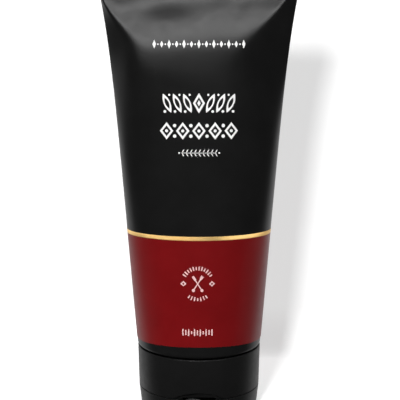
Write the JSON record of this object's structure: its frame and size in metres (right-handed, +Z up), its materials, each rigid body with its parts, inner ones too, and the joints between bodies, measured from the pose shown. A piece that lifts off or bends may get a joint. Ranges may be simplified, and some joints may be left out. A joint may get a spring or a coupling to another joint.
{
  "type": "shaving cream tube",
  "caption": "Squeeze tube of shaving cream that stands on its flip-top cap: round at the cap, flat at the crimped end, with a hinged lid and a screw-on cap.",
  "frame": {"origin": "middle of the lid's flat outer face, which the tube stands on", "axes": "+Z up from the cap to the crimp, -Y towards the printed front and the thumb recess, +Y towards the lid's hinge, X along the crimp"},
  "size_m": [0.0788, 0.0502, 0.1774],
  "materials": {
    "cap_plastic": "fine moulded grain",
    "seal_foil": "laminated foil",
    "head_plastic": "as moulded",
    "sleeve_plastic": "satin varnish",
    "red_print": "satin lacquer",
    "gold_foil": "hot-stamped foil",
    "cream": "soft cream"
  },
  "bodies": {
    "cap": {"cap_base": "cap_plastic", "hinge_film": "cap_plastic", "snap_straps": "cap_plastic"},
    "lid": {"cap_lid": "cap_plastic"},
    "seal": {"neck_seal": "seal_foil"},
    "tube": {"tube_head": "head_plastic", "tube_sleeve": "sleeve_plastic", "red_band": "red_print", "gold_band": "gold_foil", "shaving_cream": "cream"}
  },
  "joints": [
    {"name": "lid_flip", "type": "hinge", "parent": "cap", "child": "lid", "pos_m": [0, 0.02495, 0.01], "axis": [1, 0, 0], "range_deg": [0, 175], "deforming": ["hinge_film", "snap_straps"]},
    {"name": "tube_rise", "type": "slide", "parent": "cap", "child": "seal", "axis": [0, 0, 1], "range_m": [0, 0.0064]},
    {"name": "tube_turn", "type": "hinge", "parent": "seal", "child": "tube", "pos_m": [0, 0, 0], "axis": [0, 0, 1], "range_deg": [0, 720]}
  ],
  "couplings": [
    {"joint": "tube_rise", "follows": "tube_turn", "m_per_rad": 0.0005093}
  ]
}
